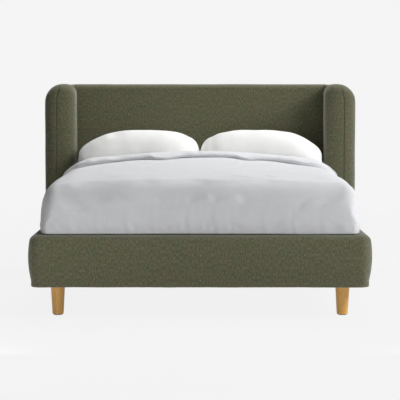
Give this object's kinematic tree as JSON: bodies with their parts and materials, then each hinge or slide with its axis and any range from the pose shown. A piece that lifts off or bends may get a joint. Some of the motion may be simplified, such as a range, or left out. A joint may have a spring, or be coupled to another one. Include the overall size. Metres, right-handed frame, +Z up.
{
  "type": "wingback bed",
  "caption": "Low upholstered wingback bed with padded rails, round tapered wooden legs, a slatted base, a mattress, a folded-back duvet and pillows.",
  "frame": {"origin": "on the floor, at the middle of the bed's footprint", "axes": "+X to the right as seen from the foot, +Y towards the headboard, +Z up"},
  "size_m": [1.92, 2.243, 1.168],
  "materials": {
    "olive_tweed": "woven heathered tweed",
    "black_cloth": "thin non-woven",
    "duvet_cotton": "soft plain weave",
    "pillow_cotton": "soft plain weave",
    "sheet_cotton": "soft plain weave",
    "mattress_ticking": "quilted",
    "white_webbing": "webbing",
    "grey_felt": "felt",
    "foam": "cut foam",
    "oak": "satin lacquer",
    "pine": "sawn and planed",
    "plywood": "plywood",
    "zinc_steel": "zinc plated",
    "black_plastic": "matt"
  },
  "bodies": {
    "bed_frame": {"beam_hangers": "zinc_steel", "centre_beam": "pine", "centre_leg_front": "pine", "centre_leg_rear": "pine", "corner_block_left": "pine", "corner_block_right": "pine", "foot_rail_board": "pine", "foot_rail_cover": "olive_tweed", "foot_rail_foam": "foam", "headboard_back_cloth": "black_cloth", "headboard_bottom_rail": "pine", "headboard_cover": "olive_tweed", "headboard_face_panel": "plywood", "headboard_foam": "foam", "headboard_stiles": "pine", "headboard_top_rail": "pine", "leg_front_left": "oak", "leg_front_right": "oak", "leg_glides": "grey_felt", "leg_rear_left": "oak", "leg_rear_right": "oak", "leg_studs": "zinc_steel", "post_slot_plates": "zinc_steel", "rail_hook_plates": "zinc_steel", "side_rail_board_left": "pine", "side_rail_board_right": "pine", "side_rail_cover_left": "olive_tweed", "side_rail_cover_right": "olive_tweed", "side_rail_foam_left": "foam", "side_rail_foam_right": "foam", "slat_ledge_left": "pine", "slat_ledge_right": "pine", "slat_screws": "zinc_steel", "slat_tapes": "white_webbing", "slats": "pine", "wing_base_board_left": "pine", "wing_base_board_right": "pine", "wing_bolts": "zinc_steel", "wing_foam_left": "foam", "wing_foam_right": "foam", "wing_front_post_left": "pine", "wing_front_post_right": "pine", "wing_inner_board_left": "pine", "wing_inner_board_right": "pine", "wing_inner_cover_left": "olive_tweed", "wing_inner_cover_right": "olive_tweed", "wing_outer_board_left": "pine", "wing_outer_board_right": "pine", "wing_outer_cover_left": "olive_tweed", "wing_outer_cover_right": "olive_tweed", "wing_rear_post_left": "pine", "wing_rear_post_right": "pine"},
    "mattress": {"mattress_core": "mattress_ticking", "fitted_sheet": "sheet_cotton"},
    "duvet": {"duvet": "duvet_cotton"},
    "pillow_left": {"pillow_left": "pillow_cotton"},
    "pillow_right": {"pillow_right": "pillow_cotton"},
    "levelling_foot_front": {"levelling_foot_front": "black_plastic"},
    "levelling_foot_rear": {"levelling_foot_rear": "black_plastic"}
  },
  "joints": [
    {"name": "mattress_lift", "type": "slide", "parent": "bed_frame", "child": "mattress", "axis": [0, 0, 1], "range_m": [0, 0.9]},
    {"name": "duvet_lift", "type": "slide", "parent": "mattress", "child": "duvet", "axis": [0, 0, 1], "range_m": [0, 0.4]},
    {"name": "pillow_left_lift", "type": "slide", "parent": "mattress", "child": "pillow_left", "axis": [0, 0, 1], "range_m": [0, 0.6]},
    {"name": "pillow_right_lift", "type": "slide", "parent": "mattress", "child": "pillow_right", "axis": [0, 0, 1], "range_m": [0, 0.6]},
    {"name": "levelling_foot_front_screw", "type": "slide", "parent": "bed_frame", "child": "levelling_foot_front", "axis": [0, 0, -1], "range_m": [0, 0.012]},
    {"name": "levelling_foot_rear_screw", "type": "slide", "parent": "bed_frame", "child": "levelling_foot_rear", "axis": [0, 0, -1], "range_m": [0, 0.012]}
  ]
}
